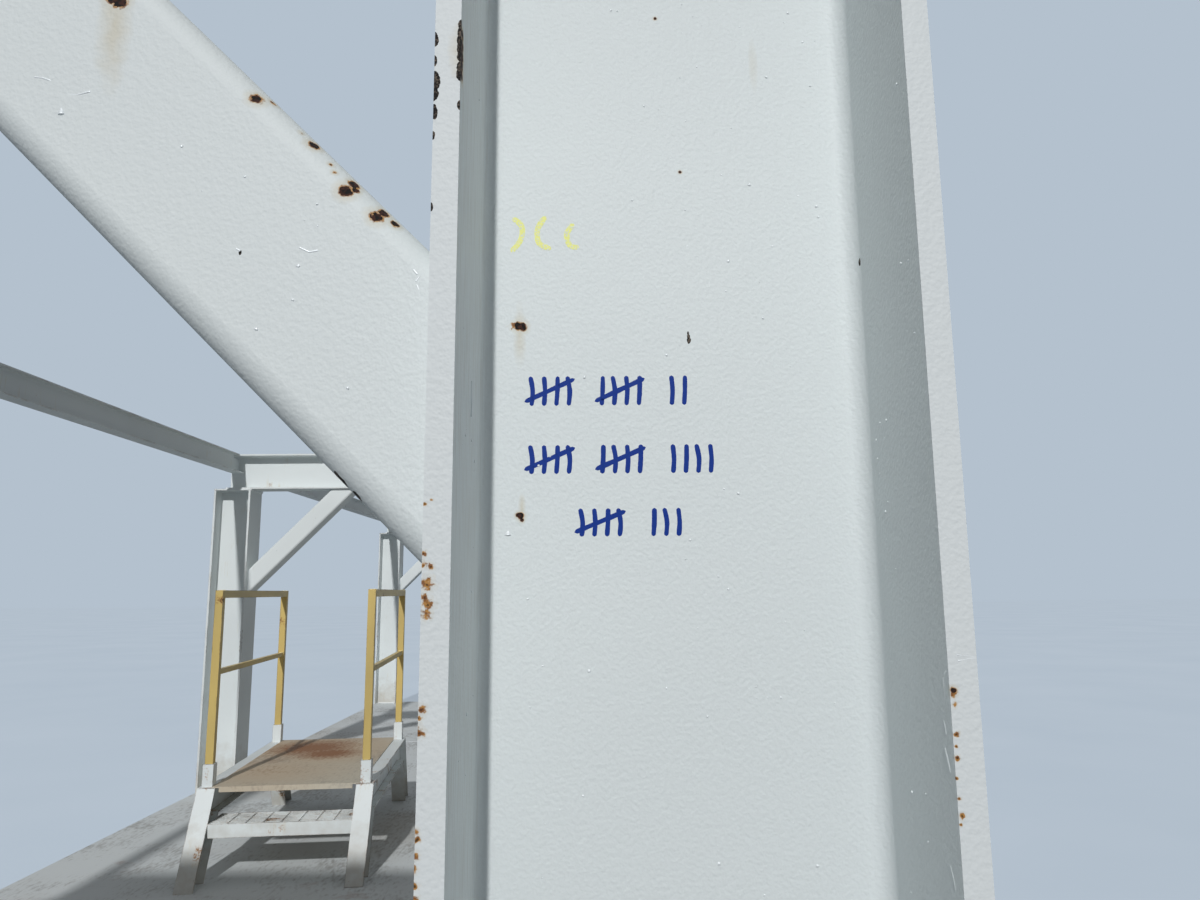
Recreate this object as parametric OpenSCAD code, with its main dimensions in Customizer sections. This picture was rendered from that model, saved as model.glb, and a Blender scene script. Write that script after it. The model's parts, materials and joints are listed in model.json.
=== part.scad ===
// Open steel frame of a drilling rig skid: three portals on a plated base, tied by
// top side beams, with a crossover stair and its handrails standing on the deck.
// X is the width, Y the length with the near end at -Y, and Z is up from the ground.

/* [Frame] */
// Overall length of the frame
frame_length = 12802; // [11800:1:14000]
// Overall width, over the outer faces of the columns
frame_width = 3505; // [3000:1:4000]
// Overall height, from the ground to the top of the cross beams
frame_height = 2896; // [2600:1:3400]
// Distance between the near portal and the middle portal, on centres
near_bay = 6900; // [6400:1:7400]

/* [Columns] */
// Depth of a column section, across the frame
column_depth = 310; // [260:1:350]
// Width of a column flange, along the frame
column_flange = 254; // [240:1:300]
// Thickness of a column flange
column_flange_t = 16.3; // [10:0.1:22]
// Thickness of a column web
column_web_t = 9.1; // [6:0.1:14]
// Radius of the fillet between a column web and its flanges
column_root_r = 13; // [8:1:20]
// Thickness of the plate on top of a column
cap_t = 12.7; // [8:0.1:20]
// How far a cap plate runs past the inner face of its column
cap_overhang = 10; // [0:1:25]

/* [Cross beams] */
// Depth of a cross beam
cross_depth = 303; // [250:1:340]
// Width of a cross beam flange
cross_flange = 203; // [160:1:240]
// Thickness of a cross beam flange
cross_flange_t = 13.1; // [8:0.1:18]
// Thickness of a cross beam web
cross_web_t = 7.5; // [5:0.1:12]
// Radius of the fillet between a cross beam web and its flanges
cross_root_r = 13; // [8:1:18]
// Distance from the side of the frame to the end of a cross beam
cross_inset = 85; // [20:1:88]

/* [Side beams] */
// Depth of a top side beam
side_depth = 153; // [120:1:200]
// Width of a side beam flange
side_flange = 101.6; // [80:0.1:110]
// Thickness of a side beam flange
side_flange_t = 7.1; // [5:0.1:12]
// Thickness of a side beam web
side_web_t = 5.8; // [4:0.1:9]
// Radius of the fillet between a side beam web and its flanges
side_root_r = 8; // [4:1:12]
// Distance from the side of the frame to the centre of a side beam
side_inset = 140; // [140:1:220]
// Free space around the notch that lets a beam run under another one's flange
cope_gap = 6; // [3:1:12]

/* [Knee braces] */
// Outer width of the square tube of a knee brace
brace_w = 150; // [120:1:180]
// Wall of the knee brace tube
brace_wall = 9.5; // [5:0.1:14]
// Outer corner radius of the knee brace tube
brace_corner_r = 19; // [16:1:26]
// Angle of a knee brace above the level
brace_angle = 45; // [38:1:52]
// Height at which the centre line of a brace meets its column
brace_foot = 1806; // [1600:1:1950]

/* [Base] */
// Depth of the runners and of the members between them
runner_depth = 106; // [90:1:200]
// Width of a runner flange
runner_flange = 103; // [90:1:115]
// Thickness of a runner flange
runner_flange_t = 8.8; // [6:0.1:14]
// Thickness of a runner web
runner_web_t = 7.1; // [5:0.1:10]
// Radius of the fillet between a runner web and its flanges
runner_root_r = 7; // [5:1:12]
// Number of cross members under the near bay, between the portals
near_members = 5; // [3:1:7]
// Number of cross members under the far bay, between the portals
far_members = 4; // [3:1:6]

/* [Deck] */
// Thickness of the deck plates
deck_t = 6.4; // [4:0.1:12]
// Width of the joint between two deck plates
deck_joint = 3; // [1:0.5:6]

/* [Stair] */
// Place of the crossover's centre across the frame
stair_x = -374; // [-450:1:0]
// Place of the crossover's centre along the frame
stair_y = -793; // [-1200:1:-700]
// Angle at which the crossover stands to the frame
stair_skew = 6; // [0:1:10]
// Height of the platform above the deck
platform_h = 490; // [460:1:560]
// Length of the platform
platform_len = 1625; // [1400:1:1700]
// Thickness of the platform plate
plate_t = 6.4; // [4:0.1:10]
// Depth of the lip bent down at each end of the platform plate
plate_lip = 30; // [20:1:45]
// Distance between the two side frames of the crossover, on centres
side_gauge = 895; // [800:1:950]
// How far the platform plate laps onto each side frame
plate_lap = 20; // [10:1:30]
// Depth of the crossover's side frames
string_depth = 153; // [130:1:170]
// Width of a side frame's flange
string_flange = 101.6; // [90:0.1:120]
// Thickness of a side frame's flange
string_flange_t = 7.1; // [5:0.1:10]
// Thickness of a side frame's web
string_web_t = 5.8; // [4:0.1:9]
// Slope of the stair
stair_angle = 60; // [52:1:66]
// Height of the tread above the deck
tread_h = 310; // [280:1:340]
// Depth of a tread, from front to back
tread_depth = 250; // [220:1:280]
// Height of the lip at the front and back of a tread
tread_lip = 75; // [50:1:85]
// Thickness of the plates around a tread's grating
tread_t = 6; // [3:0.5:8]
// Height of the grating's bearing bars
bar_h = 32; // [20:1:40]
// Thickness of a bearing bar
bar_t = 5; // [3:0.5:6]
// Spacing of the bearing bars, on centres
bar_pitch = 30; // [25:1:45]
// Spacing of the cross rods over the bearing bars, on centres
rod_pitch = 100; // [60:1:130]
// Width and height of a cross rod
rod_w = 7; // [5:0.5:10]

/* [Handrails] */
// Height of the top rail above the platform
rail_h = 1120; // [950:1:1150]
// Height of the middle of the mid rail above the platform
mid_rail_h = 640; // [450:1:700]
// Outer width of the square posts and of the top rail
post_w = 45; // [35:1:55]
// Wall of the posts and of the rails
post_wall = 3; // [2:0.5:5]
// Outer width of the mid rail
mid_rail_w = 30; // [20:1:34]
// Distance from the end of the platform to the centre of a post
post_setback = 45; // [40:1:80]
// Height of a post socket above the side frame
socket_h = 130; // [90:1:180]
// Wall of a post socket
socket_wall = 8; // [5:0.5:12]
// Gap between a post and its socket, on each side
socket_gap = 0.5; // [0.3:0.1:1]

/* [Hidden] */
$fn = 48;
enamel = [0.86, 0.89, 0.90];
deck_paint = [0.74, 0.77, 0.78];
rail_paint = [0.82, 0.70, 0.36];
worn_plate = [0.60, 0.53, 0.46];
left = -1;
right = 1;
deck_top = runner_depth + deck_t;
near_y = -frame_length / 2 + column_flange / 2;
middle_y = near_y + near_bay;
far_y = frame_length / 2 - column_flange / 2;
cross_bottom = frame_height - cross_depth;
column_top = cross_bottom - cap_t;
column_x = frame_width / 2 - column_depth / 2;
column_inner_x = frame_width / 2 - column_depth;
runner_x = frame_width / 2 - runner_flange / 2;
runner_cut = (runner_flange - runner_web_t) / 2;
end_y = frame_length / 2 - runner_flange / 2;
near_pitch = near_bay / (near_members + 1);
far_pitch = (far_y - middle_y) / (far_members + 1);
pair_offset = (column_flange - runner_flange) / 2;
member_ys = concat(
    [near_y + pair_offset, middle_y - pair_offset, middle_y + pair_offset, far_y - pair_offset],
    [for (i = [1:near_members]) near_y + i * near_pitch],
    [for (i = [1:far_members]) middle_y + i * far_pitch]
);
near_joint_y = near_y + ceil(near_members / 2) * near_pitch;
far_joint_y = middle_y + ceil(far_members / 2) * far_pitch;
frame_top_h = platform_h - plate_t;
tread_w = side_gauge - string_flange;
plate_w = side_gauge - string_flange + 2 * plate_lap;
socket_w = post_w + 2 * (socket_gap + socket_wall);
cut_over = 2;

// One side of the hollow between two flanges, with rounded corners at the web
module flange_hollow(depth, flange, flange_t, web_t, root_r) {
    hollow_w = (flange - web_t) / 2;
    hollow_h = depth - 2 * flange_t;
    translate([web_t / 2 + root_r, -hollow_h / 2]) square([hollow_w, hollow_h]);
    translate([web_t / 2, -hollow_h / 2 + root_r]) square([hollow_w, hollow_h - 2 * root_r]);
    for (v = [-1, 1]) {
        translate([web_t / 2 + root_r, v * (hollow_h / 2 - root_r)]) circle(root_r);
    }
}

// Wide flange section with its web along Y and its flanges across X
module wide_flange(depth, flange, flange_t, web_t, root_r) {
    difference() {
        square([flange, depth], center = true);
        flange_hollow(depth, flange, flange_t, web_t, root_r);
        mirror([1, 0]) flange_hollow(depth, flange, flange_t, web_t, root_r);
    }
}

// Square outline with round corners
module round_square(w, corner_r) {
    square([w, w - 2 * corner_r], center = true);
    square([w - 2 * corner_r, w], center = true);
    for (u = [-1, 1], v = [-1, 1]) {
        translate([u * (w / 2 - corner_r), v * (w / 2 - corner_r)]) circle(corner_r);
    }
}

// Square tube section with round corners
module square_tube(w, wall, corner_r) {
    difference() {
        round_square(w, corner_r);
        round_square(w - 2 * wall, corner_r - wall);
    }
}

module runner_section() {
    wide_flange(runner_depth, runner_flange, runner_flange_t, runner_web_t, runner_root_r);
}

// Base member along Y between two webs, its flanges cut back so that the web reaches them
module coped_member(between_webs) {
    flanged = between_webs - 2 * runner_cut;
    tongue_h = runner_depth - 2 * (runner_flange_t + runner_root_r);
    rotate([90, 0, 0]) linear_extrude(flanged, center = true) runner_section();
    cube([runner_web_t, between_webs, tongue_h], center = true);
}

module base_runner(side) {
    color(enamel) translate([side * runner_x, 0, runner_depth / 2])
        rotate([90, 0, 0]) linear_extrude(frame_length, center = true) runner_section();
}

module base_runner_middle() {
    color(enamel) translate([0, 0, runner_depth / 2]) coped_member(2 * end_y - runner_web_t);
}

module base_end(end) {
    color(enamel) translate([0, end * end_y, runner_depth / 2])
        rotate([0, 0, 90]) coped_member(2 * runner_x - runner_web_t);
}

// Cross members on one side, from the side runner's web to the middle runner's
module base_members(side) {
    span = runner_x - runner_web_t;
    color(enamel) for (y = member_ys) {
        translate([side * runner_x / 2, y, runner_depth / 2]) rotate([0, 0, 90]) coped_member(span);
    }
}

module deck_plate(from_y, to_y) {
    color(deck_paint) translate([-frame_width / 2, from_y, runner_depth])
        cube([frame_width, to_y - from_y, deck_t]);
}

module column(side, y) {
    color(enamel) translate([side * column_x, y, deck_top])
        linear_extrude(column_top - deck_top) rotate([0, 0, 90])
            wide_flange(column_depth, column_flange, column_flange_t, column_web_t, column_root_r);
}

module cap_plates() {
    cap_depth = column_depth + cap_overhang;
    color(enamel) for (side = [left, right], y = [near_y, middle_y, far_y]) {
        translate([side * (frame_width - cap_depth) / 2, y, column_top + cap_t / 2])
            cube([cap_depth, column_flange, cap_t], center = true);
    }
}

module cross_beam(y) {
    color(enamel) translate([0, y, frame_height - cross_depth / 2]) rotate([90, 0, 90])
        linear_extrude(frame_width - 2 * cross_inset, center = true)
            wide_flange(cross_depth, cross_flange, cross_flange_t, cross_web_t, cross_root_r);
}

// Square tube from the inner face of a column up to the underside of the cross beam
module knee_brace(side, y) {
    rise = cross_bottom - brace_foot;
    reach = rise / tan(brace_angle);
    color(enamel) mirror([side == left ? 1 : 0, 0, 0]) translate([column_inner_x, y, 0])
        intersection() {
            translate([0, 0, brace_foot]) rotate([0, brace_angle - 90, 0])
                translate([0, 0, -2 * brace_w]) linear_extrude(rise + reach + 4 * brace_w)
                    square_tube(brace_w, brace_wall, brace_corner_r);
            translate([-reach - 2 * brace_w, -brace_w, brace_foot - 2 * brace_w])
                cube([reach + 2 * brace_w, 2 * brace_w, rise + 2 * brace_w]);
        }
}

// Top beam along a side, notched at both ends to run under the cross beams' flanges
module side_beam(side, from_y, to_y) {
    between_webs = to_y - from_y - cross_web_t;
    notch_len = (cross_flange - cross_web_t) / 2 + cope_gap;
    notch_h = cross_flange_t + cross_root_r + cope_gap;
    color(enamel) translate([side * (frame_width / 2 - side_inset), (from_y + to_y) / 2, frame_height])
        difference() {
            translate([0, 0, -side_depth / 2]) rotate([90, 0, 0])
                linear_extrude(between_webs, center = true)
                    wide_flange(side_depth, side_flange, side_flange_t, side_web_t, side_root_r);
            for (end = [-1, 1]) {
                translate([0, end * (between_webs - notch_len) / 2, -notch_h / 2])
                    cube([side_flange + cut_over, notch_len + cut_over, notch_h + cut_over], center = true);
            }
        }
}

// Sets a piece of the crossover, drawn about its own centre, on the deck
module on_deck() {
    translate([stair_x, stair_y, deck_top]) rotate([0, 0, stair_skew]) children();
}

// Side view of a crossover frame, drawn in by a distance from its upper faces
module crossover_outline(inset) {
    corner_y = platform_len / 2 - inset * tan(stair_angle / 2);
    corner_z = frame_top_h - inset;
    foot_y = corner_y + corner_z / tan(stair_angle);
    polygon([[-foot_y, 0], [-corner_y, corner_z], [corner_y, corner_z], [foot_y, 0]]);
}

module crossover_band(from_inset, to_inset) {
    difference() {
        crossover_outline(from_inset);
        crossover_outline(to_inset);
    }
}

// Stringers and platform beam of one side, mitred and welded into one frame
module stair_frame(side) {
    color(enamel) on_deck() translate([side * side_gauge / 2, 0, 0]) rotate([90, 0, 90]) {
        linear_extrude(string_flange, center = true) crossover_band(0, string_flange_t);
        linear_extrude(string_flange, center = true)
            crossover_band(string_depth - string_flange_t, string_depth);
        linear_extrude(string_web_t, center = true) crossover_band(0, string_depth);
    }
}

// Plate with a lip bent down at each end, lapped onto both side frames
module platform_plate() {
    lip_w = tread_w - 2 * plate_lap;
    color(worn_plate) on_deck() {
        translate([0, 0, platform_h - plate_t / 2]) cube([plate_w, platform_len, plate_t], center = true);
        for (end = [-1, 1]) {
            translate([0, end * (platform_len - plate_t) / 2, platform_h - plate_lip / 2])
                cube([lip_w, plate_t, plate_lip], center = true);
        }
    }
}

// Bars laid side by side along X at even steps of about one pitch, clear of both ends
module even_rows(span, pitch) {
    steps = round(span / pitch);
    for (i = [1:steps - 1]) {
        translate([-span / 2 + i * span / steps, 0, 0]) children();
    }
}

// Grating tread between the two side frames: bearing bars and cross rods in a plate frame
module stair_tread(end) {
    front_y = platform_len / 2 + (frame_top_h - tread_h) / tan(stair_angle);
    color(enamel) on_deck() translate([0, end * (front_y - tread_depth / 2), tread_h]) {
        translate([0, 0, -tread_lip]) linear_extrude(tread_lip) difference() {
            square([tread_w, tread_depth], center = true);
            square([tread_w - 2 * tread_t, tread_depth - 2 * tread_t], center = true);
        }
        translate([0, 0, -bar_h / 2]) rotate([0, 0, 90]) even_rows(tread_depth - 2 * tread_t, bar_pitch)
            cube([bar_t, tread_w - tread_t, bar_h], center = true);
        translate([0, 0, -rod_w / 2]) even_rows(tread_w - 2 * tread_t, rod_pitch)
            cube([rod_w, tread_depth - tread_t, rod_w], center = true);
    }
}

// Puts a piece at each end of one side of the platform
module at_posts(side) {
    for (end = [-1, 1]) {
        translate([side * side_gauge / 2, end * (platform_len / 2 - post_setback), frame_top_h]) children();
    }
}

module post_sockets() {
    bore_w = post_w + 2 * socket_gap;
    color(enamel) on_deck() for (side = [left, right]) at_posts(side) {
        linear_extrude(socket_h) difference() {
            square(socket_w, center = true);
            square(bore_w, center = true);
        }
    }
}

// Posts, top rail and mid rail of one handrail, each drawn in by a distance on every side
module rail_bars(side, inset) {
    post_h = plate_t + rail_h;
    rail_span = platform_len - 2 * post_setback;
    bar_w = post_w - 2 * inset;
    mid_w = mid_rail_w - 2 * inset;
    mid_span = inset > 0 ? rail_span - post_w : rail_span;
    at_posts(side) translate([0, 0, -inset]) linear_extrude(post_h) square(bar_w, center = true);
    translate([side * side_gauge / 2, 0, frame_top_h + post_h - post_w / 2])
        cube([bar_w, rail_span, bar_w], center = true);
    translate([side * side_gauge / 2, 0, platform_h + mid_rail_h])
        cube([mid_w, mid_span, mid_w], center = true);
}

// Two posts with a top rail and a mid rail, welded from tube and open at the foot
module handrail(side) {
    color(rail_paint) on_deck() difference() {
        rail_bars(side, 0);
        rail_bars(side, post_wall);
    }
}

base_runner(left);  // base_runner_left
base_runner(right);  // base_runner_right
base_runner_middle();
base_end(-1);  // base_end_near
base_end(1);  // base_end_far
base_members(left);  // base_members_left
base_members(right);  // base_members_right
deck_plate(-frame_length / 2, near_joint_y - deck_joint / 2);  // deck_plate_near
deck_plate(near_joint_y + deck_joint / 2, far_joint_y - deck_joint / 2);  // deck_plate_middle
deck_plate(far_joint_y + deck_joint / 2, frame_length / 2);  // deck_plate_far
column(left, near_y);  // column_near_left
column(right, near_y);  // column_near_right
column(left, middle_y);  // column_middle_left
column(right, middle_y);  // column_middle_right
column(left, far_y);  // column_far_left
column(right, far_y);  // column_far_right
cap_plates();
cross_beam(near_y);  // cross_beam_near
cross_beam(middle_y);  // cross_beam_middle
cross_beam(far_y);  // cross_beam_far
knee_brace(left, near_y);  // knee_brace_near_left
knee_brace(right, near_y);  // knee_brace_near_right
knee_brace(left, middle_y);  // knee_brace_middle_left
knee_brace(right, middle_y);  // knee_brace_middle_right
knee_brace(left, far_y);  // knee_brace_far_left
knee_brace(right, far_y);  // knee_brace_far_right
side_beam(left, near_y, middle_y);  // side_beam_near_left
side_beam(right, near_y, middle_y);  // side_beam_near_right
side_beam(left, middle_y, far_y);  // side_beam_far_left
side_beam(right, middle_y, far_y);  // side_beam_far_right
stair_frame(left);  // stair_frame_left
stair_frame(right);  // stair_frame_right
platform_plate();
stair_tread(-1);  // stair_tread_near
stair_tread(1);  // stair_tread_far
post_sockets();
handrail(left);  // handrail_left
handrail(right);  // handrail_right
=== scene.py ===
"""Finishes, welds and paint marks of an open drilling rig skid frame, with its stage.

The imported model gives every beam, plate, stair and rail. This script paints them and adds what is
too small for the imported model. Lengths are in metres and Z is up, with the near end at -Y.
"""
import json
import math
import random
from functools import partial

import bpy
from mathutils import Matrix, Vector


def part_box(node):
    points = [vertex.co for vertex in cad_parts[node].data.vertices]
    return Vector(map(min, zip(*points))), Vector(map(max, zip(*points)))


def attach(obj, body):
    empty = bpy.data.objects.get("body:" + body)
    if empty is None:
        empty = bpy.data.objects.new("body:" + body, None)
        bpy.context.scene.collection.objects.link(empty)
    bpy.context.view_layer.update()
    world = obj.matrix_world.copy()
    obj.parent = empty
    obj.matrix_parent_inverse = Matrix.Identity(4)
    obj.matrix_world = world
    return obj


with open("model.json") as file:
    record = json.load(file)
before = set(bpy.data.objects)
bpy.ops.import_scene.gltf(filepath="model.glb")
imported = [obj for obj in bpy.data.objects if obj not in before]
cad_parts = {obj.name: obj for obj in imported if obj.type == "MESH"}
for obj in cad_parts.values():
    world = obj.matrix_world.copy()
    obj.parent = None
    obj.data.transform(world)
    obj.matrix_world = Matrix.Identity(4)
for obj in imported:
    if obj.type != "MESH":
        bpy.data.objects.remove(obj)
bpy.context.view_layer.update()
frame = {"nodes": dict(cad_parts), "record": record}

bl_info = {
    "name": "Skid Frame Finishes",
    "version": (1, 0, 0),
    "blender": (4, 5, 0),
    "location": "View3D > Sidebar > Skid Frame",
    "description": "Enamel, welds, rust and paint marks for a steel skid frame",
    "category": "Object",
}

BODY = "root"
NODES = frame["nodes"]
PHOTO_WIDTH = 1200
SIDES = (-1, 1)
PORTALS = ("near", "middle", "far")
BAYS = ("near", "far")
HANDS = {"left": -1, "right": 1}


def linear(hex_colour):
    """Turns an sRGB hex colour such as #DCE3E4 into linear red, green and blue."""
    parts = [int(hex_colour[i:i + 2], 16) / 255 for i in (1, 3, 5)]
    return tuple(c / 12.92 if c <= 0.04045 else ((c + 0.055) / 1.055) ** 2.4 for c in parts)


def opaque(colour):
    """A colour with full alpha, as a node's colour socket takes it."""
    return (*colour, 1.0)


def per_metre(mm):
    """Texture scale at which one feature of a pattern measures that many millimetres."""
    return 1000 / mm


def number(name, description, default, **limits):
    """A number property, with its unit, subtype or limits."""
    return bpy.props.FloatProperty(name=name, description=description, default=default, **limits)


def length(name, description, default):
    """A length property in metres."""
    return number(name, description, default, min=0, unit="LENGTH", precision=4)


def angle(name, description, degrees):
    """An angle property from degrees."""
    return number(name, description, math.radians(degrees), subtype="ANGLE")


def colour(name, description, default):
    """A colour property from an sRGB hex value."""
    return bpy.props.FloatVectorProperty(
        name=name, description=description, default=linear(default), size=3, min=0, max=1, subtype="COLOR"
    )


class SkidSections(bpy.types.PropertyGroup):
    """Thicknesses and radii of the rolled sections, which the boxes of the nodes don't tell."""

    column_flange_t: length("Column flange", "Thickness of a column flange", 0.0163)
    column_web_t: length("Column web", "Thickness of a column web", 0.0091)
    column_root_r: length("Column root", "Fillet between a column web and its flanges", 0.013)
    cross_web_t: length("Cross beam web", "Thickness of a cross beam web", 0.0075)
    side_flange_t: length("Side beam flange", "Thickness of a side beam flange", 0.0071)
    side_web_t: length("Side beam web", "Thickness of a side beam web", 0.0058)
    notch_h: length("Notch", "Height of the notch at a side beam's ends", 0.0321)
    brace_corner_r: length("Brace corner", "Outer corner radius of a knee brace", 0.019)
    runner_flange_t: length("Runner flange", "Thickness of the flanges in the base", 0.0088)
    string_flange: length("Stair flange", "Width of the flanges of a stair frame", 0.1016)
    string_depth: length("Stair depth", "Depth of the section of a stair frame", 0.153)
    string_flange_t: length("Stair flange thickness", "Thickness of those flanges", 0.0071)
    side_gauge: length("Stair gauge", "Distance between the two stair frames", 0.895)
    platform_len: length("Platform length", "Length of the platform", 1.625)
    plate_t: length("Platform plate", "Thickness of the platform plate", 0.0064)
    plate_lap: length("Plate lap", "Lap of the platform plate on a stair frame", 0.02)
    tread_h: length("Tread height", "Height of a tread above the deck", 0.310)
    tread_lip: length("Tread lip", "Height of the plates around a tread", 0.075)
    post_w: length("Post width", "Width of a handrail post", 0.045)
    mid_rail_w: length("Mid rail width", "Width of a mid rail", 0.030)
    mid_rail_h: length("Mid rail height", "Height of a mid rail above the platform", 0.640)
    post_setback: length("Post setback", "Distance from the platform's end to a post", 0.045)
    socket_w: length("Socket width", "Outer width of a post socket", 0.062)
    brace_angle: angle("Brace angle", "Slope of a knee brace", 45)
    stair_angle: angle("Stair angle", "Slope of the stair", 60)
    stair_skew: angle("Stair skew", "Turn of the crossover on the deck", 6)


class SkidDetails(bpy.types.PropertyGroup):
    """Sizes of the welds, spatter, paint runs and marks."""

    frame_bead: length("Frame weld", "Radius of a fillet weld on the frame", 0.0065)
    light_bead: length("Light weld", "Radius of a fillet weld on the crossover", 0.0035)
    ripple: length("Weld ripple", "Distance between two ripples of a weld", 0.009)
    ripple_depth: number("Ripple depth", "Share of the radius lost between ripples", 0.16, min=0, max=0.5)
    spatter_r: length("Spatter", "Radius of the largest spatter bead", 0.0019)
    spatter_density: number("Spatter density", "Spatter beads on a square metre", 120, min=0)
    close_density: number("Nib density", "Nibs on a square metre of the column by the camera", 1100, min=0)
    nib_r: length("Nib", "Radius of the largest nib in the film by the camera", 0.0013)
    run_r: length("Paint run", "Radius of the bead at the foot of a paint run", 0.0018)
    ridge_r: length("Film ridge", "Radius at the foot of a fine run or crease by the camera", 0.0027)
    drop_r: length("Paint drop", "Radius at the foot of a sagging drop by the camera", 0.0045)
    ridge_sink: length("Ridge sink", "Depth of the middle of a film ridge under the film", 0.0007)
    drop_sink: length("Drop sink", "Depth of the middle of a paint drop under the film", 0.0018)
    marker_w: length("Marker stroke", "Width of a paint marker stroke", 0.0034)
    crayon_w: length("Crayon stroke", "Width of a crayon stroke", 0.0041)
    paint_t: length("Paint film", "Thickness of a painted mark", 0.0002)
    scale_r: length("Rust scale", "Largest radius of a lump of rust scale", 0.006)
    scale_gap: length("Scale gap", "Distance between two lumps of rust scale", 0.011)


class SkidFinishes(bpy.types.PropertyGroup):
    """Colours of the paints, the rust and the marks."""

    white: colour("White enamel", "Glossy white on the frame", "#DFE5E5")
    white_shade: colour("Thin enamel", "Where the white is thinner or dusty", "#D2D8D9")
    # This colour is dried mud, and also the painted shade laid in the brush strokes of the near column's
    # faces that look to the right.
    soil_and_stroke_shade: colour("Soil", "Dried mud thrown up from the deck", "#A79C8B")
    stain: colour("Rust stain", "Thin rust wash below a chip", "#BBA058")
    rust_edge: colour("Orange rust", "Fresh rust around a chip", "#B4803C")
    dull: colour("Dull enamel", "Thin rough film on the rolled edges of a flange", "#DCE1E2")
    bare: colour("Bare steel", "Dry brown steel where the film has come off", "#72675C")
    rust_mid: colour("Deep orange rust", "Older rust among the orange", "#7C4B22")
    rust_core: colour("Brown rust", "Old rust inside a chip", "#41251C")
    rust_black: colour("Black scale", "Mill scale inside a chip", "#15100E")
    deck: colour("Deck enamel", "Worn grey white on the deck plates", "#D3D8D9")
    deck_worn: colour("Worn deck", "Trodden steel that shows through the deck enamel", "#8C8A86")
    yellow: colour("Yellow enamel", "Safety yellow on the handrails", "#D2B86E")
    yellow_shade: colour("Faded yellow", "Grime on the yellow", "#B09B62")
    plate: colour("Worn plate", "Trodden paint on the platform", "#BFB8A7")
    plate_rust: colour("Plate rust", "Rust on the platform", "#835324")
    marker: colour("Blue marker", "Paint marker on the near column", "#06338C")
    crayon: colour("Yellow crayon", "Marking crayon on the near column", "#F6F79A")
    floor: colour("Floor", "Studio floor and backdrop", "#B4C1CE")


class SkidStage(bpy.types.PropertyGroup):
    """Camera and light."""

    camera_x: number("Camera X", "Across the frame", 1.5431, unit="LENGTH")
    camera_y: number("Camera Y", "Along the frame", -6.896, unit="LENGTH")
    camera_z: number("Camera Z", "Above the floor", 1.6952, unit="LENGTH")
    pitch: angle("Pitch", "Upward tilt of the camera", 9.289)
    yaw: angle("Yaw", "Turn of the camera to the left", -0.087)
    roll: angle("Roll", "Roll of the camera", -0.455)
    focal_px: number("Focal length", "Focal length in pixels of a 1200 wide image", 867.7)
    key_height: angle("Key height", "Height of the key light above the level", 31)
    key_turn: angle("Key turn", "Turn of the key light off the camera's axis", 4)
    key_spread: angle("Key spread", "Angle of the soft key light", 1.4)
    key_level: number("Key level", "Strength of the key light", 2.23)
    fill_level: number("Fill level", "Strength of the world light", 0.19)
    floor_lift: number("Floor lift", "Light added to the floor for the camera alone", 0.66)
    floor_size: length("Floor size", "Length of a side of the floor", 240)


def chosen(group):
    """The scene's sections, details, finishes or stage."""
    return getattr(bpy.context.scene, f"skid_{group}")


def add_node(tree, kind, feeds=(), **settings):
    """Adds a node with its settings, and feeds its open inputs with values, sockets or whole nodes:
    a list in their order, a dictionary by their names. So a noise takes its place, scale, detail
    and roughness, and a map range its value, the range read and the range given."""
    made = tree.nodes.new(kind)
    for name, value in settings.items():
        setattr(made, name, value)
    sockets = [socket for socket in made.inputs if socket.enabled]
    if isinstance(feeds, dict):
        by_name = {socket.name: socket for socket in sockets}
        pairs = [(by_name[name], value) for name, value in feeds.items()]
    else:
        pairs = zip(sockets, feeds)
    for socket, value in pairs:
        if isinstance(value, bpy.types.Node):
            value = next(output for output in value.outputs if output.enabled)
        if isinstance(value, bpy.types.NodeSocket):
            tree.links.new(value, socket)
        else:
            socket.default_value = value
    return made


def start_material(name):
    """A new material, the means to add its nodes, and the place on the object."""
    material = bpy.data.materials.new(name)
    material.use_nodes = True
    material.node_tree.nodes.clear()
    add = partial(add_node, material.node_tree)
    return material, add, add("ShaderNodeTexCoord").outputs["Object"]


def end_material(add, feeds):
    """Adds the Principled shader with what feeds it, and closes the material."""
    add("ShaderNodeOutputMaterial", [add("ShaderNodeBsdfPrincipled", feeds)])


def layered(add, ground, layers):
    """Lays colours over a ground, one after the other, each by its share."""
    for share, over in layers:
        ground = add("ShaderNodeMix", [share, ground, over], data_type="RGBA")
    return ground


def outermost(add, operation, masks):
    """The MAXIMUM or the MINIMUM of several masks."""
    found = masks[0]
    for mask in masks[1:]:
        found = add("ShaderNodeMath", [found, mask], operation=operation)
    return found


def arris_mask(add, reach):
    """1 on sharp outer and inner edges, 0 on flat faces and rolled fillets."""
    rounded = add("ShaderNodeBevel", {"Radius": reach}, samples=4)
    flat = add("ShaderNodeNewGeometry").outputs["Normal"]
    likeness = add("ShaderNodeVectorMath", [rounded, flat], operation="DOT_PRODUCT")
    return add("ShaderNodeMapRange", [likeness, 0.998, 0.82])


def torn_spots(add, place, spots, grain, firm, stretch=1.0):
    """High at the middle of the nearest spot and falling outwards, for upright ovals made ragged by
    a grain: firm spots keep their shape, others break up."""
    squashed = add("ShaderNodeMapping", {"Vector": place, "Scale": (1, 1, 1 / stretch)})
    shares = []
    for x, y, z, radius in spots:
        away = add("ShaderNodeVectorMath", [squashed, (x, y, z / stretch)], operation="DISTANCE")
        shares.append(add("ShaderNodeMath", [away, radius], operation="DIVIDE"))
    near = add("ShaderNodeMath", [1.0, outermost(add, "MINIMUM", shares)], operation="SUBTRACT")
    return add("ShaderNodeMath", [near, firm, grain], operation="MULTIPLY_ADD")


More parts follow.
